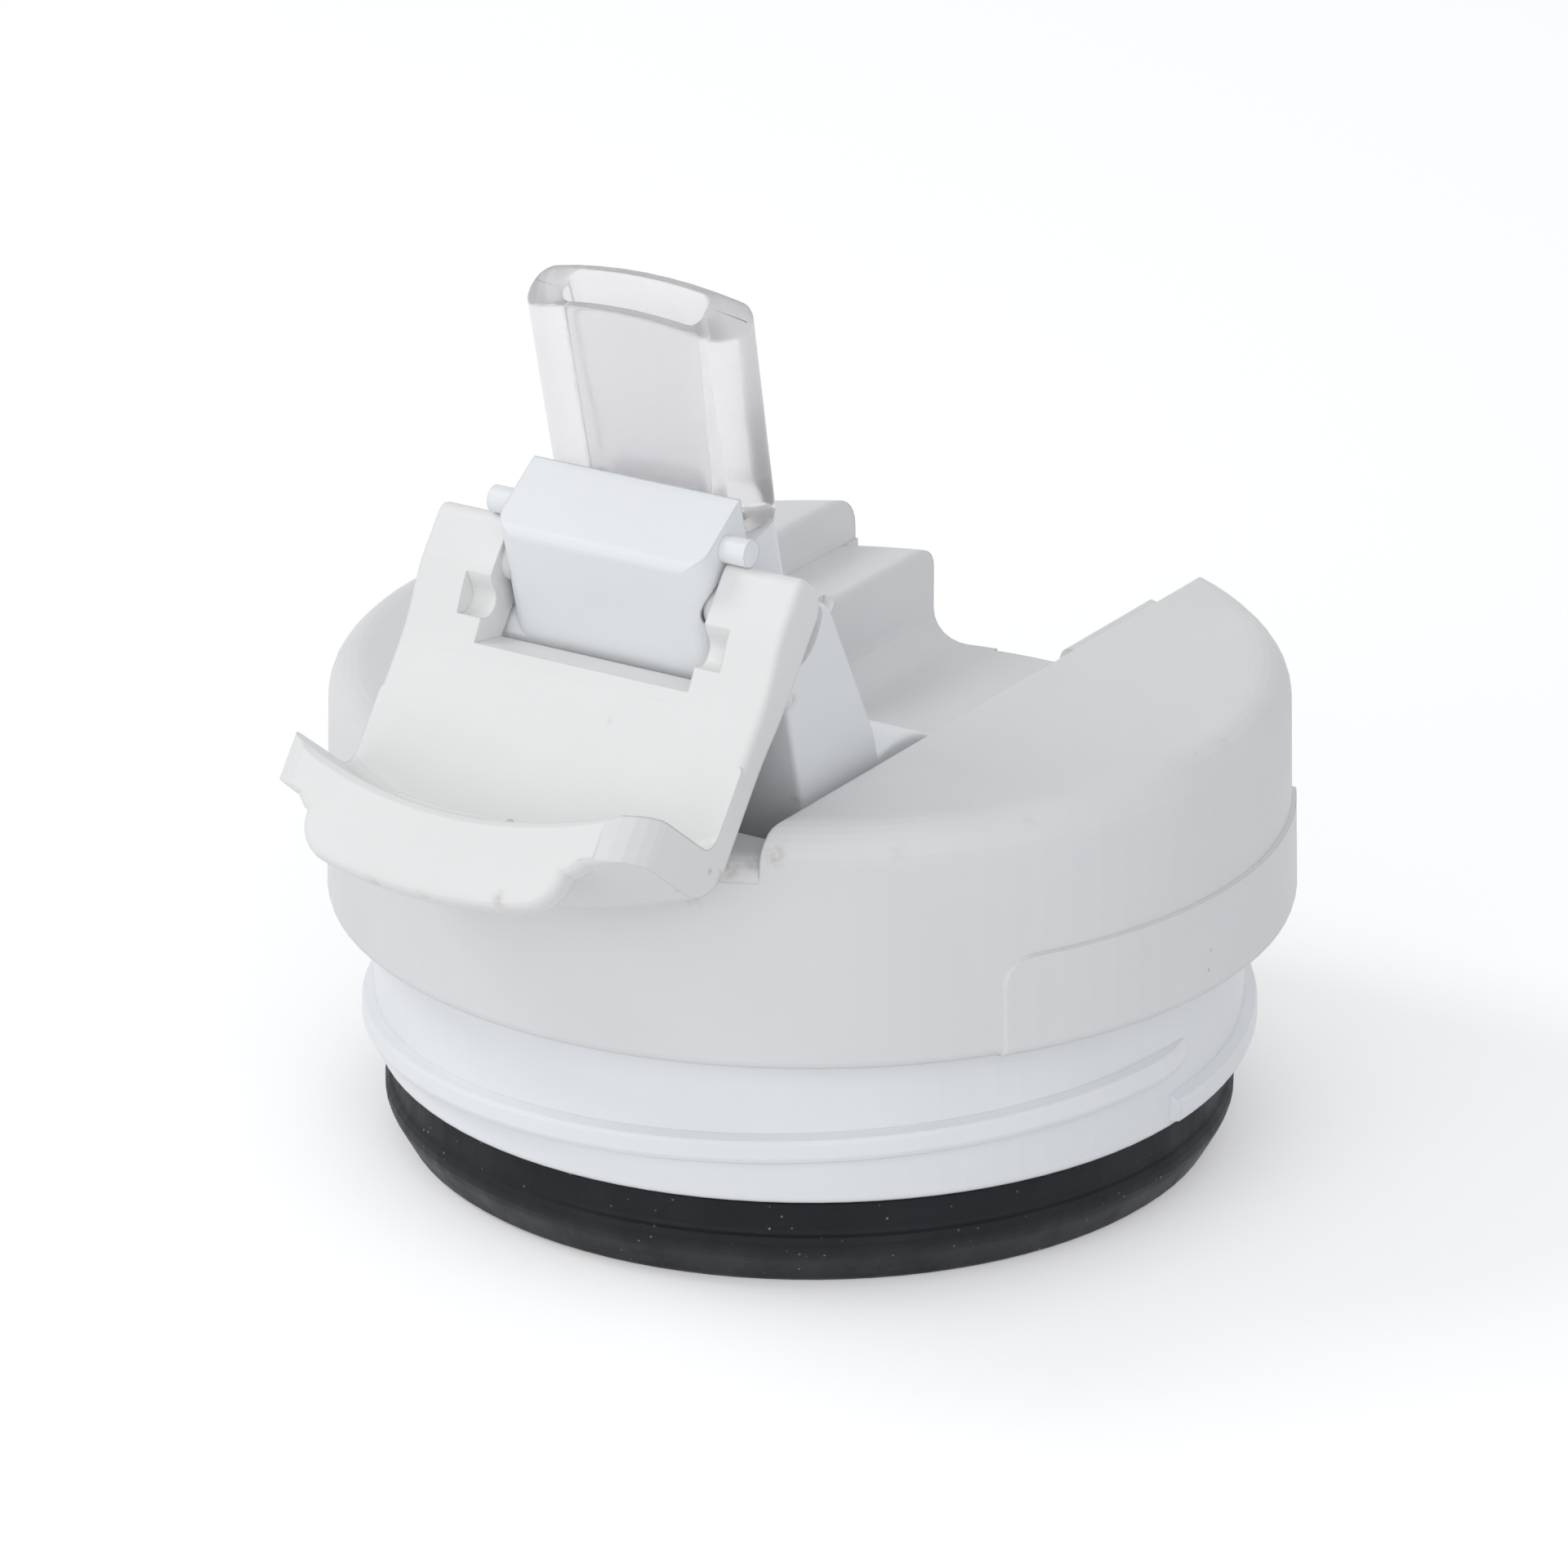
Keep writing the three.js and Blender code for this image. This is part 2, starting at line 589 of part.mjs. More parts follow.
function spoutCarrier() {
  const scoopZone = both((side) => barX(
    HEAD_REACH + 1.15,
    LEVER_HINGE_ALONG,
    LEVER_HINGE_ABOVE,
    side > 0 ? BLOCK_HALF + 0.01 : -ARM_HALF - 1,
    side > 0 ? ARM_HALF + 1 : -BLOCK_HALF - 0.01,
    40,
  ));
  return alongX(armProfile(), -ARM_HALF, ARM_HALF, ARM_EDGE_R)
    .subtract(scoopZone)
    .add(block())
    .add(barPair(TRUNNION_R, 0, 0, ARM_HALF - 1, CHANNEL_HALF + SOCKET_DEPTH - PIN_GAP))
    .add(barPair(TRUNNION_R + 2.4, 0, 0, ARM_HALF - 1, CHANNEL_HALF - GAP))
    .add(barPair(
      SNAP_PIN_R, SNAP_PIN_ALONG, SNAP_PIN_ABOVE,
      BLOCK_HALF - 1, BLOCK_HALF + SNAP_PIN_LENGTH, 20,
    ))
    .subtract(barPair(
      LEVER_BOSS_R + PIN_GAP, LEVER_HINGE_ALONG, LEVER_HINGE_ABOVE,
      BLOCK_HALF - 1.2, BLOCK_HALF + 1,
    ))
    .subtract(slot(
      SPIGOT_HALF + GAP, SPIGOT_BACK - GAP, SPIGOT_FRONT + GAP,
      BLOCK_SEAT_ALONG - SPIGOT_LENGTH - GAP, BLOCK_SEAT_ALONG + 1, 1.6,
    ))
    .subtract(slot(
      PORT_R - 0.5, SPIGOT_BACK + SPIGOT_WALL, SPIGOT_FRONT - SPIGOT_WALL,
      -DRUM_R - 1, BLOCK_SEAT_ALONG, 1,
    ));
}

// Clear mouthpiece: a flat tube with a spigot that plugs into the block
function mouthpiece() {
  const seat = BLOCK_SEAT_ALONG + GAP;
  const tip = LEG_INNER_R - MOUTH_TIP_GAP - SPOUT_HINGE_Y;
  const cornerRise = MOUTH_FRONT - MOUTH_BACK - 2.4;
  const plan = polygon([
    ...arc(-MOUTH_HALF + 2.4, MOUTH_BACK + 2.4, 2.4, 180, 270),
    ...arc(MOUTH_HALF - 2.4, MOUTH_BACK + 2.4, 2.4, 270, 360),
    ...new THREE.EllipseCurve(MOUTH_HALF - 4.6, MOUTH_BACK + 2.4, 4.6, cornerRise, 0, Math.PI / 2)
      .getPoints(8),
    ...new THREE.EllipseCurve(4.6 - MOUTH_HALF, MOUTH_BACK + 2.4, 4.6, cornerRise, Math.PI / 2, Math.PI)
      .getPoints(8),
  ]);
  const side = polygon([
    at(seat - 1, MOUTH_BACK - 1),
    at(tip + 0.3, MOUTH_BACK - 1),
    at(tip - MOUTH_TIP_SLANT, MOUTH_FRONT + 1),
    at(seat - 1, MOUTH_FRONT + 1),
  ]);
  const tipArc = barZ(LEG_INNER_R - MOUTH_TIP_GAP, 0, -SPOUT_HINGE_Y, -BIG, BIG, 160);
  const outer = alongY(plan, seat, tip + 5)
    .intersect(alongX(side, -MOUTH_HALF - 1, MOUTH_HALF + 1))
    .intersect(tipArc);
  const spigotEnd = BLOCK_SEAT_ALONG - SPIGOT_LENGTH;
  return outer
    .add(slot(SPIGOT_HALF, SPIGOT_BACK, SPIGOT_FRONT, spigotEnd, seat + 1, 1.4))
    .subtract(slot(MOUTH_BORE_HALF, MOUTH_BORE_BACK, MOUTH_BORE_FRONT, seat + 1.5, tip + 5, 1.7))
    .subtract(slot(
      MOUTH_BORE_HALF, SPIGOT_BACK + SPIGOT_WALL, SPIGOT_FRONT - SPIGOT_WALL,
      spigotEnd - 1, seat + 2, 1,
    ));
}

// Lever, folded, from its own hinge: y runs along the plate and z stands up from it
function leverProfile() {
  const shape = new THREE.Shape();
  shape.moveTo(-HEAD_REACH, -1.2);
  shape.quadraticCurveTo(-HEAD_REACH, -HEAD_HALF_THICKNESS, -HEAD_REACH + 1.3, -HEAD_HALF_THICKNESS);
  shape.lineTo(1.9, -HEAD_HALF_THICKNESS);
  shape.bezierCurveTo(4.2, -HEAD_HALF_THICKNESS, 6, -PLATE_UNDER - 0.1, 10, -PLATE_UNDER);
  shape.lineTo(14, -PLATE_UNDER);
  shape.lineTo(14, -LEG_DROP - 2);
  shape.lineTo(BIG, -LEG_DROP - 2);
  shape.lineTo(BIG, PLATE_TOP);
  shape.lineTo(14, PLATE_TOP);
  shape.bezierCurveTo(11, PLATE_TOP, 10, HEAD_HALF_THICKNESS, 7, HEAD_HALF_THICKNESS);
  shape.lineTo(-1.2, HEAD_HALF_THICKNESS);
  shape.quadraticCurveTo(-2.6, 2.3, -HEAD_REACH, 0.6);
  return shape;
}

// Everything in the lever turns about the axis of the cap when folded
const AXIS_Y = -LEVER_HINGE_Y;

function ring(points, steps = 2 * ROUND_STEPS) {
  return turned(points, steps).translate([0, AXIS_Y, 0]);
}

function lipPlan() {
  const leg = LEG_INNER_R + LEG_THICKNESS;
  const lipR = leg + LIP_REACH - LEG_THICKNESS;
  const halfDeg = THREE.MathUtils.radToDeg(Math.asin(LIP_HALF / lipR));
  const cornerDeg = THREE.MathUtils.radToDeg(LIP_CORNER_R / lipR);
  const centre = lipR - LIP_CORNER_R;
  const sideX = LIP_HALF - LIP_CORNER_R;
  const cornerY = Math.sqrt(centre * centre - sideX * sideX);
  const rootY = Math.sqrt(leg * leg - LIP_HALF * LIP_HALF);
  return polygon([
    at(LIP_HALF + 2, rootY - 2.2),
    at(LIP_HALF + 1.6, rootY - 0.6),
    at(LIP_HALF + 0.5, rootY + 0.5),
    ...arc(sideX, cornerY, LIP_CORNER_R, 0, 90 - halfDeg + cornerDeg, 6),
    ...arc(0, 0, lipR, 90 - halfDeg + 1.4 * cornerDeg, 90 + halfDeg - 1.4 * cornerDeg, 12),
    ...arc(-sideX, cornerY, LIP_CORNER_R, 90 + halfDeg - cornerDeg, 180, 6),
    at(-LIP_HALF - 0.5, rootY + 0.5),
    at(-LIP_HALF - 1.6, rootY - 0.6),
    at(-LIP_HALF - 2, rootY - 2.2),
    ...arc(0, 0, leg - 2, 90 + halfDeg, 90 - halfDeg, 12),
  ].map((point) => point.clone().setY(point.y + AXIS_Y)));
}

function flipLever() {
  const legOuterR = LEG_INNER_R + LEG_THICKNESS;
  const plateAndLeg = alongX(leverProfile(), -LEVER_HALF, LEVER_HALF, 0.6);
  const outerForm = ring([
    at(0, -LEG_DROP),
    ...arc(legOuterR - 0.8, -LEG_DROP + 0.8, 0.8, -90, 0, 3),
    ...arc(legOuterR - LEG_CORNER_R, PLATE_TOP - LEG_CORNER_R, LEG_CORNER_R, 0, 90, 7),
    at(0, BIG),
  ]);
  const shoulderX = LEVER_HALF + 0.05;
  const shoulders = roundedRectangle(-shoulderX, shoulderX, -LEG_DROP, BIG, LEG_SHOULDER_R, 1);
  const inside = ring([
    at(0, -LEG_DROP - 1),
    at(LEG_INNER_R + 0.6, -LEG_DROP - 1),
    at(LEG_INNER_R + 0.6, -LEG_DROP),
    at(LEG_INNER_R, -LEG_DROP + 0.6),
    ...arc(LEG_INNER_R - 1.6, -PLATE_UNDER - 1.6, 1.6, 0, 90, 4),
    at(0, -PLATE_UNDER),
  ]);
  const lip = alongZ(lipPlan(), 0.1 - LEG_DROP, 0.1 - LEG_DROP + LIP_THICKNESS, 0.8);
  const notch = polygon([
    at(-HEAD_REACH - 2, -BIG),
    at(NOTCH_BOTTOM + 2.4, -BIG),
    at(NOTCH_BOTTOM + 1.4, -PLATE_UNDER),
    at(NOTCH_BOTTOM - 0.6, HEAD_HALF_THICKNESS),
    at(NOTCH_BOTTOM - 1, BIG),
    at(-HEAD_REACH - 2, BIG),
  ]);
  const beadSection = arc(LEG_INNER_R + BEAD_R - BEAD_PROUD, -LEG_DROP + BEAD_UP, BEAD_R, 0, 360, 12);
  const bead = ring(beadSection, ROUND_STEPS + 26)
    .intersect(alongX(rectangle(0, BIG, -BIG, BIG), -BEAD_HALF, BEAD_HALF, 0.5));
  return plateAndLeg
    .intersect(outerForm)
    .intersect(alongY(shoulders, -BIG, BIG))
    .subtract(inside.intersect(alongX(rectangle(10, BIG, -BIG, BIG), -BIG, BIG)))
    .add(lip)
    .add(bead)
    .subtract(alongX(notch, -EAR_INNER, EAR_INNER))
    .add(barPair(LEVER_BOSS_R, 0, 0, BLOCK_HALF - 0.8, EAR_INNER + 1))
    .subtract(pinPockets());
}

// Curved pockets inside the ears: the snap pins run into them as the lever closes
function pinPockets() {
  const along = SNAP_PIN_ALONG - LEVER_HINGE_ALONG;
  const above = SNAP_PIN_ABOVE - LEVER_HINGE_ABOVE;
  const radius = SNAP_PIN_R + GAP;
  const reach = Math.hypot(along, above);
  const seat = THREE.MathUtils.radToDeg(Math.atan2(above, along));
  const pocket = polygon([
    ...arc(along, above, radius, seat, seat + 180, 10),
    ...arc(0, 0, reach - radius, seat, seat - 60, 8).slice(1),
    ...arc(0, 0, reach + radius, seat - 60, seat, 8).slice(0, -1),
  ]);
  const depth = BLOCK_HALF + SNAP_PIN_LENGTH + GAP;
  return both((side) => alongX(pocket, side > 0 ? EAR_INNER - 1 : -depth, side > 0 ? depth : 1 - EAR_INNER));
}

// Finishes
const plastic = (color, roughness) => new THREE.MeshStandardMaterial({ color, roughness, metalness: 0 });
const CAP_WHITE = plastic(0xe0e2e4, 0.5);
const NECK_WHITE = plastic(0xe9edf3, 0.4);
const SPOUT_WHITE = plastic(0xe4e8ec, 0.42);
const LEVER_WHITE = plastic(0xe9eaea, 0.45);
const GASKET_BLACK = plastic(0x24272b, 0.6);
const SEAL_GREY = plastic(0xc9ccce, 0.6);
const CLEAR = new THREE.MeshStandardMaterial({
  color: 0xe4e3ea,
  roughness: 0.1,
  metalness: 0,
  transparent: true,
  opacity: 0.45,
});

// The lid, put together as in the photograph: the spout open and the lever on the rim
const lid = new THREE.Group();
lid.add(meshOf('cap_body', capBody(), CAP_WHITE));
lid.add(meshOf('threaded_plug', threadedPlug(), NECK_WHITE));
lid.add(meshOf('plug_gasket', plugGasket(), GASKET_BLACK));
lid.add(meshOf('seat_seal', seatSeal(), SEAL_GREY));

const spout = new THREE.Group();
spout.position.set(0, SPOUT_HINGE_Y, SPOUT_HINGE_Z);
spout.rotation.x = rad(90 + SPOUT_LEAN_DEG);
spout.add(meshOf('spout_carrier', spoutCarrier(), SPOUT_WHITE));
spout.add(meshOf('mouthpiece', mouthpiece(), CLEAR));
lid.add(spout);

const lever = new THREE.Group();
lever.position.set(0, LEVER_HINGE_ALONG, LEVER_HINGE_ABOVE);
lever.rotation.x = rad(LEVER_OPEN_DEG);
lever.add(meshOf('flip_lever', flipLever(), LEVER_WHITE));
spout.add(lever);

export default lid;
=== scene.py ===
import math

import bmesh
import bpy
from mathutils import Matrix, Vector

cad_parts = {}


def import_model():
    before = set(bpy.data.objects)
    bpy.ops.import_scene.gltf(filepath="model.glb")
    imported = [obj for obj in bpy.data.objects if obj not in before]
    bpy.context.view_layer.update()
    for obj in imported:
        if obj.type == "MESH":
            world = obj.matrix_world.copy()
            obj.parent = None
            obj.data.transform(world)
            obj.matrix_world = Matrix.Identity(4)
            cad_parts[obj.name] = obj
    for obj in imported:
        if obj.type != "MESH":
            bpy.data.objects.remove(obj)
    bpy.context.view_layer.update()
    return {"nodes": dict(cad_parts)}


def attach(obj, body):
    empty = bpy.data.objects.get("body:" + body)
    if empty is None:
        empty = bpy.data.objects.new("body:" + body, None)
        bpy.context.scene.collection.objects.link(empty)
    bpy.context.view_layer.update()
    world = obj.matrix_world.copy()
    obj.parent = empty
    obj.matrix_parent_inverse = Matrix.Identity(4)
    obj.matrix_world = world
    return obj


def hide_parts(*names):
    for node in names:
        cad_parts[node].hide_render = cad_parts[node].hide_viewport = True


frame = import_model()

MM = 0.001
NODES = frame["nodes"]
SCENE = bpy.context.scene

# Camera, fitted to the ellipses of the cap, the neck and the gasket
PHOTO_PX = 1920
AZIMUTH_DEG = 32.64
ELEVATION_DEG = 21.73
FOCAL_PX = 9153.2
DISTANCE = 700 * MM
TARGET = Vector((0, 0, 20 * MM))
TARGET_PX = (991.4, 1117.3)
SENSOR_MM = 36

# Spout and lever as they stand in the photograph, in millimetres
SPOUT_HINGE = Vector((0, -14.3, 33.6))
SPOUT_TURN = Matrix.Rotation(math.radians(104), 4, "X")
LEVER_HINGE = Vector((0, -31.397, 62.698))
LEVER_TURN = Matrix.Rotation(math.radians(232.4), 4, "X")

# Mouthpiece, along the spout from its hinge and above it, towards the lever
SEAT = 35.82
TIP = 56.2
TIP_ARC_R = 43.4
TIP_SLANT = 1.6
MOUTH_HALF = 10.9
MOUTH_WIDENING = 0.5
MOUTH_BACK = -1.8
MOUTH_DEPTH = 6.1
MOUTH_THINNING = 0.2
MOUTH_WALL = 1.1
BORE_HALF = 6.6
BORE_WIDENING = 0.6
SPIGOT = (7.6, -0.9, 3.1, 1.4, 1.4)
SPIGOT_BORE = (6.4, -0.15, 2.35, 1.0, 1.0)
SPIGOT_END = 31.05

# Lever, from its own hinge: the axis of the cap, and the level of the leg's end
CAP_AXIS_Y = -18.07
LEG_END_BELOW = -14.02
LEG_END = -14.1
LEG_MIN_R = 40

# Floor, world and lamps
FLOOR_HALF = 3.0
LAMP_AIM = Vector((0, 0, 0.04))
AMBIENT = 0.62

# Dirt, and one painted shade on the cap under the lever's corner, as centre in millimetres, reach,
# strength and colour
BROWN = (0.3, 0.2, 0.11)
GREY = (0.22, 0.2, 0.19)
CAP_STAINS_AND_SHADE = (
    ((21.2, -38.9, 43.7), 1.3, 0.5, BROWN),
    ((17.4, -40.5, 42.4), 1.2, 0.6, BROWN),
    ((19.2, -39.6, 42.9), 1.0, 0.4, BROWN),
    ((29.8, -32.6, 44.2), 1.2, 0.15, BROWN),
    ((37.1, -22.6, 45.1), 1.2, 0.12, BROWN),
    ((43.0, 1.8, 45.5), 1.4, 0.12, BROWN),
    # painted shade: a dark grey mark on the cap's side just under the lever's lower corner, where the
    # lever's shadow falls
    ((14.8, -42.1, 39.2), 0.9, 0.35, GREY),
)
LEVER_STAINS = (
    ((-4.6, -63.0, 43.7), 1.1, 0.4, BROWN),
    ((-10.8, -61.0, 45.2), 1.4, 0.6, GREY),
    ((0.8, -63.4, 44.0), 0.9, 0.35, BROWN),
    ((8.4, -62.5, 45.2), 1.0, 0.4, BROWN),
    ((19.2, -46.4, 44.5), 0.5, 0.6, GREY),
    ((19.0, -51.1, 44.2), 0.4, 0.5, GREY),
    ((19.2, -44.6, 43.3), 0.9, 0.6, BROWN),
    ((4.8, -40.1, 53.4), 0.5, 0.3, GREY),
)
CARRIER_STAINS = (
    ((18.3, -32.0, 55.4), 1.4, 0.4, BROWN),
    ((17.6, -30.0, 45.3), 1.0, 0.25, BROWN),
)


def place_camera():
    azimuth = math.radians(AZIMUTH_DEG)
    elevation = math.radians(ELEVATION_DEG)
    back = Vector((
        math.cos(elevation) * math.sin(azimuth),
        -math.cos(elevation) * math.cos(azimuth),
        math.sin(elevation),
    ))
    right = Vector((math.cos(azimuth), math.sin(azimuth), 0))
    up = back.cross(right)
    across = (TARGET_PX[0] - PHOTO_PX / 2) / FOCAL_PX * DISTANCE
    down = (TARGET_PX[1] - PHOTO_PX / 2) / FOCAL_PX * DISTANCE
    location = TARGET + back * DISTANCE - right * across + up * down
    data = bpy.data.cameras.new("camera")
    data.sensor_width = SENSOR_MM
    data.sensor_fit = "HORIZONTAL"
    data.lens = SENSOR_MM * FOCAL_PX / PHOTO_PX
    data.clip_start = 0.01
    data.clip_end = 20
    camera = bpy.data.objects.new("camera", data)
    camera.matrix_world = Matrix.Translation(location) @ Matrix((right, up, back)).transposed().to_4x4()
    SCENE.collection.objects.link(camera)
    SCENE.camera = camera


# Node helpers

class Nodes:
    """A material's node tree, with short calls to add and join nodes."""

    def __init__(self, name):
        self.material = bpy.data.materials.new(name)
        self.material.use_nodes = True
        self.tree = self.material.node_tree
        self.tree.nodes.clear()
        self.out = self.tree.nodes.new("ShaderNodeOutputMaterial")

    def add(self, kind, **settings):
        node = self.tree.nodes.new(kind)
        for key, value in settings.items():
            if key.startswith("in_"):
                node.inputs[key[3:].replace("_", " ")].default_value = value
            else:
                setattr(node, key, value)
        return node

    def join(self, source, target):
        self.tree.links.new(source, target)

    def place(self):
        return self.add("ShaderNodeTexCoord").outputs["Object"]

    def math(self, operation, a, b=None, clamp=False):
        node = self.add("ShaderNodeMath", operation=operation, use_clamp=clamp)
        for socket, value in zip(node.inputs, (a, b)):
            if value is None:
                continue
            if isinstance(value, (int, float)):
                socket.default_value = value
            else:
                self.join(value, socket)
        return node.outputs[0]

    def noise(self, vector, scale, detail=3.0, roughness=0.55):
        node = self.add("ShaderNodeTexNoise", in_Scale=scale, in_Detail=detail, in_Roughness=roughness)
        self.join(vector, node.inputs["Vector"])
        return node.outputs["Fac"]

    def ramp(self, value, low, high, start=0.0, end=1.0):
        node = self.add("ShaderNodeMapRange", clamp=True)
        self.join(value, node.inputs["Value"])
        for key, number in (("From Min", low), ("From Max", high), ("To Min", start), ("To Max", end)):
            node.inputs[key].default_value = number
        return node.outputs["Result"]

    def mix(self, factor, a, b):
        node = self.add("ShaderNodeMix", data_type="RGBA")
        sockets = [s for s in node.inputs if s.type == "RGBA"]
        for socket, value in zip(sockets, (a, b)):
            if isinstance(value, tuple):
                socket.default_value = (*value, 1)
            else:
                self.join(value, socket)
        if isinstance(factor, (int, float)):
            node.inputs["Factor"].default_value = factor
        else:
            self.join(factor, node.inputs["Factor"])
        return next(s for s in node.outputs if s.type == "RGBA")


def near(nodes, vector, centre, reach):
    """1 at a place in the object, in millimetres, and 0 at its reach."""
    distance = nodes.add("ShaderNodeVectorMath", operation="DISTANCE")
    nodes.join(vector, distance.inputs[0])
    distance.inputs[1].default_value = Vector(centre) * MM
    return nodes.ramp(distance.outputs["Value"], 0, reach * MM, 1, 0)


def moulded(name, colour, roughness, shade=0.97, bump=0.02, edge=0.3, specks=0.0, stains_and_shade=()):
    """Moulded plastic: faint cloudiness, a fine skin, softened edges, dust specks, stains and painted
    shade marks.
    """
    nodes = Nodes(name)
    place = nodes.place()
    bsdf = nodes.add("ShaderNodeBsdfPrincipled", in_IOR=1.47)
    cloud = nodes.noise(place, 55, 3)
    darker = tuple(channel * shade for channel in colour)
    tint = nodes.mix(nodes.ramp(cloud, 0.35, 0.65), colour, darker)
    if specks:
        cells = nodes.add("ShaderNodeTexVoronoi", feature="F1", in_Scale=420)
        nodes.join(place, cells.inputs["Vector"])
        dots = nodes.ramp(cells.outputs["Distance"], 0.05, 0.09, 1, 0)
        rare = nodes.ramp(nodes.noise(place, 130, 1), 0.66, 0.72)
        mask = nodes.math("MULTIPLY", nodes.math("MULTIPLY", dots, rare), specks)
        tint = nodes.mix(mask, tint, (0.3, 0.27, 0.25))
    # each entry mixes its colour in around a point: stains, and on the cap one painted shade under the
    # lever's corner
    for centre, reach, strength, mark_colour in stains_and_shade:
        blotch = nodes.ramp(nodes.noise(place, 900, 4, 0.7), 0.4, 0.62)
        mask = nodes.math("MULTIPLY", near(nodes, place, centre, reach), blotch)
        tint = nodes.mix(nodes.math("MULTIPLY", mask, strength), tint, mark_colour)
    nodes.join(tint, bsdf.inputs["Base Color"])
    wear = nodes.noise(place, 90, 2)
    nodes.join(nodes.ramp(wear, 0.3, 0.7, roughness - 0.04, roughness + 0.05), bsdf.inputs["Roughness"])
    soft = nodes.add("ShaderNodeBevel", samples=6, in_Radius=edge * MM)
    skin = nodes.add("ShaderNodeBump", in_Strength=bump, in_Distance=0.0002)
    nodes.join(nodes.noise(place, 2600, 2), skin.inputs["Height"])
    nodes.join(soft.outputs["Normal"], skin.inputs["Normal"])
    nodes.join(skin.outputs["Normal"], bsdf.inputs["Normal"])
    nodes.join(bsdf.outputs["BSDF"], nodes.out.inputs["Surface"])
    return nodes.material


def dusty_rubber(name):
    """Black silicone with a bloom of dust, lint and fine scratches."""
    nodes = Nodes(name)
    place = nodes.place()
    bsdf = nodes.add("ShaderNodeBsdfPrincipled", in_IOR=1.36)
    bsdf.inputs["Specular IOR Level"].default_value = 0.35
    cloud = nodes.ramp(nodes.noise(place, 40, 3), 0.3, 0.7)
    base = nodes.mix(cloud, (0.0055, 0.0065, 0.0085), (0.01, 0.0115, 0.0145))
    separate = nodes.add("ShaderNodeSeparateXYZ")
    nodes.join(place, separate.inputs["Vector"])
    height = separate.outputs["Z"]
    foot = nodes.ramp(height, 2.4 * MM, 4.4 * MM, 1, 0.12)
    bloom = nodes.math("MULTIPLY", foot, nodes.ramp(nodes.noise(place, 160, 5, 0.7), 0.15, 0.7))
    tint = nodes.mix(nodes.math("MULTIPLY", bloom, 0.3), base, (0.16, 0.165, 0.175))
    dots = nodes.add("ShaderNodeTexVoronoi", feature="F1", in_Scale=900)
    nodes.join(place, dots.inputs["Vector"])
    speck = nodes.ramp(dots.outputs["Distance"], 0.06, 0.13, 1, 0)
    rare = nodes.ramp(nodes.noise(place, 240, 2), 0.5, 0.62)
    lint = nodes.math("MULTIPLY", nodes.math("MULTIPLY", speck, rare), 0.75)
    tint = nodes.mix(lint, tint, (0.3, 0.31, 0.33))
    nodes.join(tint, bsdf.inputs["Base Color"])
    nodes.join(nodes.ramp(nodes.noise(place, 200, 3), 0.3, 0.7, 0.45, 0.62), bsdf.inputs["Roughness"])
    skin = nodes.add("ShaderNodeBump", in_Strength=0.15, in_Distance=0.0001)
    nodes.join(nodes.noise(place, 1800, 3), skin.inputs["Height"])
    soft = nodes.add("ShaderNodeBevel", samples=4, in_Radius=0.15 * MM)
    nodes.join(soft.outputs["Normal"], skin.inputs["Normal"])
    nodes.join(skin.outputs["Normal"], bsdf.inputs["Normal"])
    nodes.join(bsdf.outputs["BSDF"], nodes.out.inputs["Surface"])
    return nodes.material


def clear_plastic(name):
    """Clear moulded plastic, slightly frosted, with a faint lavender tint and smudges."""
    nodes = Nodes(name)
    place = nodes.place()
    bsdf = nodes.add("ShaderNodeBsdfPrincipled", in_IOR=1.3)
    bsdf.inputs["Transmission Weight"].default_value = 0.78
    cloud = nodes.ramp(nodes.noise(place, 60, 3), 0.35, 0.65)
    tint = nodes.mix(cloud, (0.95, 0.945, 0.955), (0.93, 0.925, 0.94))
    nodes.join(tint, bsdf.inputs["Base Color"])
    smudge = nodes.ramp(nodes.noise(place, 110, 4, 0.6), 0.4, 0.75, 0.14, 0.3)
    nodes.join(smudge, bsdf.inputs["Roughness"])
    skin = nodes.add("ShaderNodeBump", in_Strength=0.1, in_Distance=0.0002)
    nodes.join(nodes.noise(place, 140, 2), skin.inputs["Height"])
    nodes.join(skin.outputs["Normal"], bsdf.inputs["Normal"])
    nodes.join(bsdf.outputs["BSDF"], nodes.out.inputs["Surface"])
    return nodes.material


def give(obj, material):
    obj.data.materials.clear()
    obj.data.materials.append(material)


# Pieces that stand for a CAD node

def new_piece(name, mesh):
    obj = bpy.data.objects.new(name, mesh)
    SCENE.collection.objects.link(obj)
    return obj


def flat_section(half, back, front, back_r, front_r, along, rim=0.0):
    """A rounded flat oval across the spout; rim shapes it as the tip: its back lifted, its ends lower."""
    points = []
    corners = (
        (half - front_r, front - front_r, front_r, 0),
        (front_r - half, front - front_r, front_r, 90),
        (back_r - half, back + back_r, back_r, 180),
        (half - back_r, back + back_r, back_r, 270),
    )
    for cx, cy, radius, start in corners:
        turns = [math.radians(start + 10 * step) for step in range(10)]
        outline = [(cx + radius * math.cos(turn), cy + radius * math.sin(turn)) for turn in turns]
        if start in (0, 180):
            outline += [(cx * (1 - step / 4), outline[-1][1]) for step in range(1, 8)]
        for x, above in outline:
            share = (front - above) / (front - back)
            drop = TIP_ARC_R - math.sqrt(TIP_ARC_R ** 2 - x * x)
            points.append(Vector((x, along + rim * (TIP_SLANT * share - drop), above)))
    return points


def tube_share(along):
    """0 at the mouthpiece's seat and 1 at its tip."""
    return (along - SEAT) / (TIP - SEAT)


def tube_outside(along, inset=0.0, rim=0.0):
    t = tube_share(along)
    depth = MOUTH_DEPTH * (1 - MOUTH_THINNING * t)
    return flat_section(
        MOUTH_HALF + MOUTH_WIDENING * t - inset,
        MOUTH_BACK + inset,
        MOUTH_BACK + depth - inset,
        (2.2 - 0.6 * t) - 0.4 * inset,
        (3.4 - 0.5 * t) - 0.4 * inset,
        along,
        rim,
    )


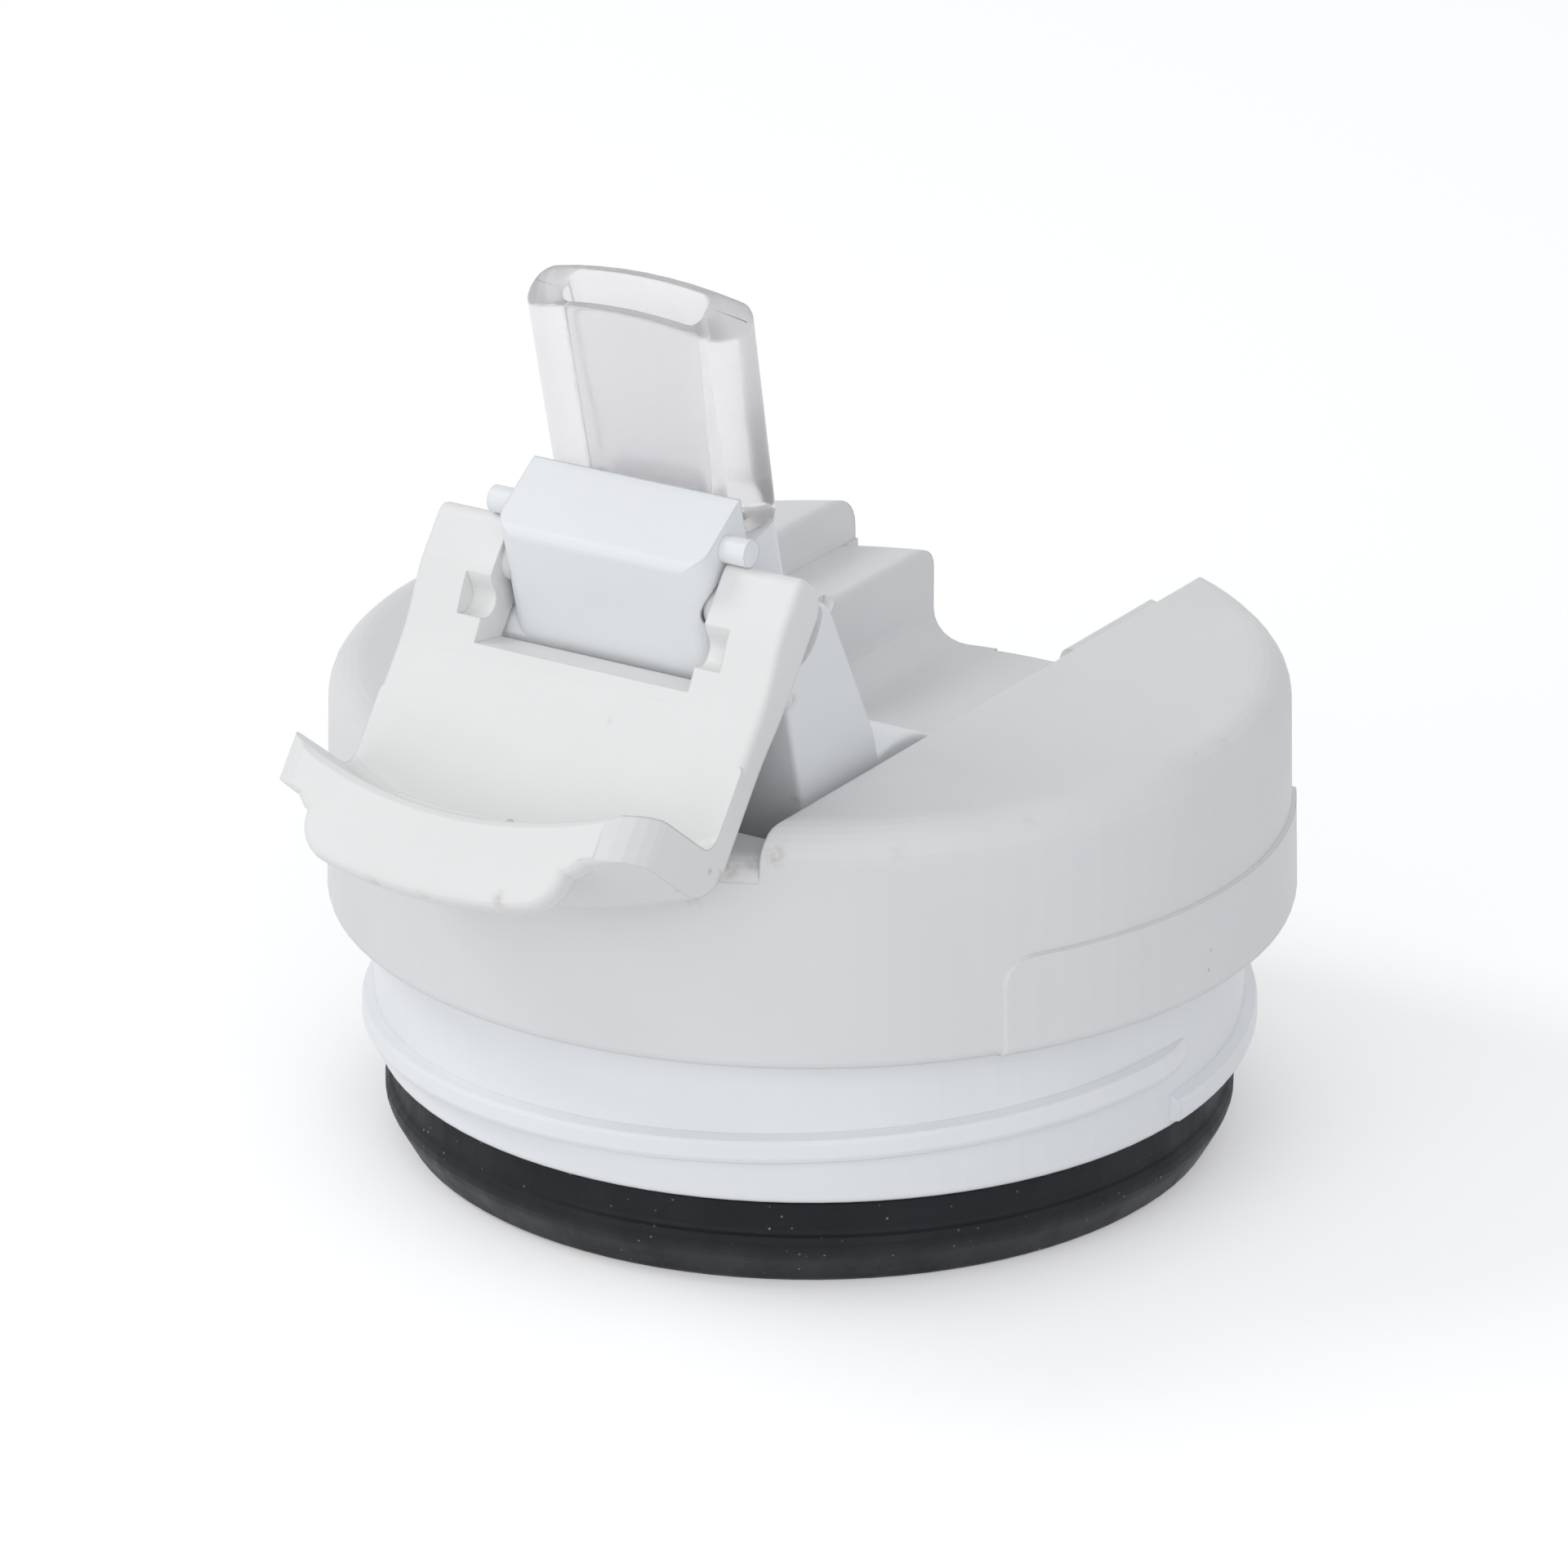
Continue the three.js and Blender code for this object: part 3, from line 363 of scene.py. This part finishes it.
def tube_bore(along, grow=0.0, rim=0.0):
    t = tube_share(along)
    depth = MOUTH_DEPTH * (1 - MOUTH_THINNING * t)
    return flat_section(
        BORE_HALF + BORE_WIDENING * t + grow,
        MOUTH_BACK + MOUTH_WALL - grow,
        MOUTH_BACK + depth - MOUTH_WALL + grow,
        1.3 - 0.3 * t,
        1.4 - 0.3 * t,
        along,
        rim,
    )


def mouthpiece():
    """The clear mouthpiece: a flat tube that thins and widens a little towards a slanted, arched rim."""
    rings = [
        flat_section(*SPIGOT, SPIGOT_END),
        flat_section(*SPIGOT, SPIGOT_END + 0.25),
        flat_section(*SPIGOT, SEAT - 0.1),
        flat_section(7.8, -0.95, 3.15, 1.4, 1.4, SEAT),
        tube_outside(SEAT, 0.25),
        tube_outside(SEAT + 0.06, 0.08),
        tube_outside(SEAT + 0.25),
    ]
    for step in range(1, 9):
        rings.append(tube_outside(SEAT + 0.25 + step * (TIP - 1.1 - SEAT) / 8, 0, (step / 8) ** 2))
    rings += [
        tube_outside(TIP - 0.4, 0.0, 1),
        tube_outside(TIP - 0.16, 0.07, 1),
        tube_outside(TIP - 0.03, 0.22, 1),
        tube_outside(TIP, 0.38, 1),
        tube_bore(TIP, 0.16, 1),
        tube_bore(TIP - 0.06, 0.05, 1),
        tube_bore(TIP - 0.3, 0.0, 1),
    ]
    for step in range(7, 0, -1):
        rings.append(tube_bore(SEAT + 1.6 + step * (TIP - 2 - SEAT - 1.6) / 8, 0, (step / 8) ** 2))
    rings += [
        tube_bore(SEAT + 1.5),
        flat_section(*SPIGOT_BORE, SEAT + 1.3),
        flat_section(*SPIGOT_BORE, SPIGOT_END + 0.25),
        flat_section(*SPIGOT_BORE, SPIGOT_END),
    ]
    count = len(rings[0])
    to_world = Matrix.Translation(SPOUT_HINGE) @ SPOUT_TURN
    verts = [(to_world @ point) * MM for ring in rings for point in ring]
    faces = []
    for row in range(len(rings)):
        after = (row + 1) % len(rings)
        for column in range(count):
            beside = (column + 1) % count
            faces.append((
                row * count + column,
                row * count + beside,
                after * count + beside,
                after * count + column,
            ))
    mesh = bpy.data.meshes.new("mouthpiece_shell")
    mesh.from_pydata(verts, [], faces)
    build = bmesh.new()
    build.from_mesh(mesh)
    bmesh.ops.recalc_face_normals(build, faces=build.faces)
    build.to_mesh(mesh)
    build.free()
    for polygon in mesh.polygons:
        polygon.use_smooth = True
    return new_piece("mouthpiece_shell", mesh)


def lever():
    """The lever with its leg's end and its thumb lip as one flush face."""
    mesh = NODES["flip_lever"].data.copy()
    mesh.name = "lever_shell"
    to_world = Matrix.Translation(LEVER_HINGE) @ LEVER_TURN
    to_local = to_world.inverted()
    for vertex in mesh.vertices:
        point = to_local @ (vertex.co / MM)
        radius = math.hypot(point.x, point.y - CAP_AXIS_Y)
        if point.z < LEG_END_BELOW and radius > LEG_MIN_R:
            point.z = LEG_END
        vertex.co = (to_world @ point) * MM
    return new_piece("lever_shell", mesh)


# Floor, world and lamps

def backdrop():
    nodes = Nodes("floor")
    path = nodes.add("ShaderNodeLightPath")
    seen = nodes.math("MAXIMUM", path.outputs["Is Camera Ray"], path.outputs["Is Glossy Ray"])
    seen = nodes.math("MAXIMUM", seen, path.outputs["Is Transmission Ray"])
    plain = nodes.add("ShaderNodeBsdfDiffuse", in_Color=(0.78, 0.78, 0.79, 1))
    lit = nodes.add("ShaderNodeBsdfDiffuse", in_Color=(0.98, 0.98, 0.985, 1))
    glow = nodes.add("ShaderNodeEmission", in_Color=(1, 1, 1, 1), in_Strength=0.24)
    both = nodes.add("ShaderNodeAddShader")
    nodes.join(lit.outputs[0], both.inputs[0])
    nodes.join(glow.outputs[0], both.inputs[1])
    mixed = nodes.add("ShaderNodeMixShader")
    nodes.join(seen, mixed.inputs["Fac"])
    nodes.join(plain.outputs[0], mixed.inputs[1])
    nodes.join(both.outputs[0], mixed.inputs[2])
    nodes.join(mixed.outputs[0], nodes.out.inputs["Surface"])
    mesh = bpy.data.meshes.new("floor")
    corners = [(FLOOR_HALF * x, FLOOR_HALF * y, 0) for x, y in ((-1, -1), (1, -1), (1, 1), (-1, 1))]
    mesh.from_pydata(corners, [], [(0, 1, 2, 3)])
    floor = bpy.data.objects.new("floor", mesh)
    SCENE.collection.objects.link(floor)
    floor.data.materials.append(nodes.material)


def world():
    data = bpy.data.worlds.new("studio")
    data.use_nodes = True
    tree = data.node_tree
    tree.nodes.clear()
    out = tree.nodes.new("ShaderNodeOutputWorld")
    path = tree.nodes.new("ShaderNodeLightPath")
    ambient = tree.nodes.new("ShaderNodeBackground")
    ambient.inputs["Color"].default_value = (0.97, 0.98, 1.0, 1)
    ambient.inputs["Strength"].default_value = AMBIENT
    shown = tree.nodes.new("ShaderNodeBackground")
    shown.inputs["Color"].default_value = (1, 1, 1, 1)
    shown.inputs["Strength"].default_value = 1
    mixed = tree.nodes.new("ShaderNodeMixShader")
    any_ray = tree.nodes.new("ShaderNodeMath")
    any_ray.operation = "MAXIMUM"
    all_rays = tree.nodes.new("ShaderNodeMath")
    all_rays.operation = "MAXIMUM"
    links = tree.links
    links.new(path.outputs["Is Camera Ray"], any_ray.inputs[0])
    links.new(path.outputs["Is Glossy Ray"], any_ray.inputs[1])
    links.new(any_ray.outputs[0], all_rays.inputs[0])
    links.new(path.outputs["Is Transmission Ray"], all_rays.inputs[1])
    links.new(all_rays.outputs[0], mixed.inputs["Fac"])
    links.new(ambient.outputs[0], mixed.inputs[1])
    links.new(shown.outputs[0], mixed.inputs[2])
    links.new(mixed.outputs[0], out.inputs["Surface"])
    SCENE.world = data


def lamp(name, location, size, power):
    """A round soft lamp aimed at the middle of the lid."""
    data = bpy.data.lights.new(name, "AREA")
    data.shape = "DISK"
    data.size = size
    data.energy = power
    obj = bpy.data.objects.new(name, data)
    obj.location = location
    obj.rotation_euler = (LAMP_AIM - Vector(location)).to_track_quat("-Z", "Y").to_euler()
    SCENE.collection.objects.link(obj)


SCENE.view_settings.view_transform = "Standard"
place_camera()
backdrop()
world()
lamp("key", (-0.9, -0.4, 1.0), 0.55, 3.3)
lamp("fill", (0.9, -0.9, 0.6), 0.9, 2.6)
lamp("front", (-0.15, -1.3, 0.3), 1.0, 3.2)

LEVER_WHITE = moulded("lever_white", (0.825, 0.83, 0.825), 0.42, specks=0.6, stains_and_shade=LEVER_STAINS)
CLEAR = clear_plastic("clear")
give(NODES["cap_body"], moulded("cap_white", (0.775, 0.778, 0.787), 0.48, specks=0.5, stains_and_shade=CAP_STAINS_AND_SHADE))
give(NODES["threaded_plug"], moulded("neck_white", (0.87, 0.89, 0.915), 0.35, specks=0.3, edge=0.2))
give(NODES["plug_gasket"], dusty_rubber("gasket_black"))
give(NODES["seat_seal"], moulded("seal_grey", (0.58, 0.6, 0.61), 0.6))
give(NODES["spout_carrier"], moulded("spout_white", (0.85, 0.87, 0.89), 0.38, stains_and_shade=CARRIER_STAINS))
give(NODES["flip_lever"], LEVER_WHITE)
give(NODES["mouthpiece"], CLEAR)

REPLACEMENTS = (
    ("mouthpiece", mouthpiece, CLEAR, "clear", "spout"),
    ("flip_lever", lever, LEVER_WHITE, "lever_white", "lever"),
)
for node, make, material, slot, body in REPLACEMENTS:
    piece = make()
    give(piece, material)
    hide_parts(node)
    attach(piece, body)
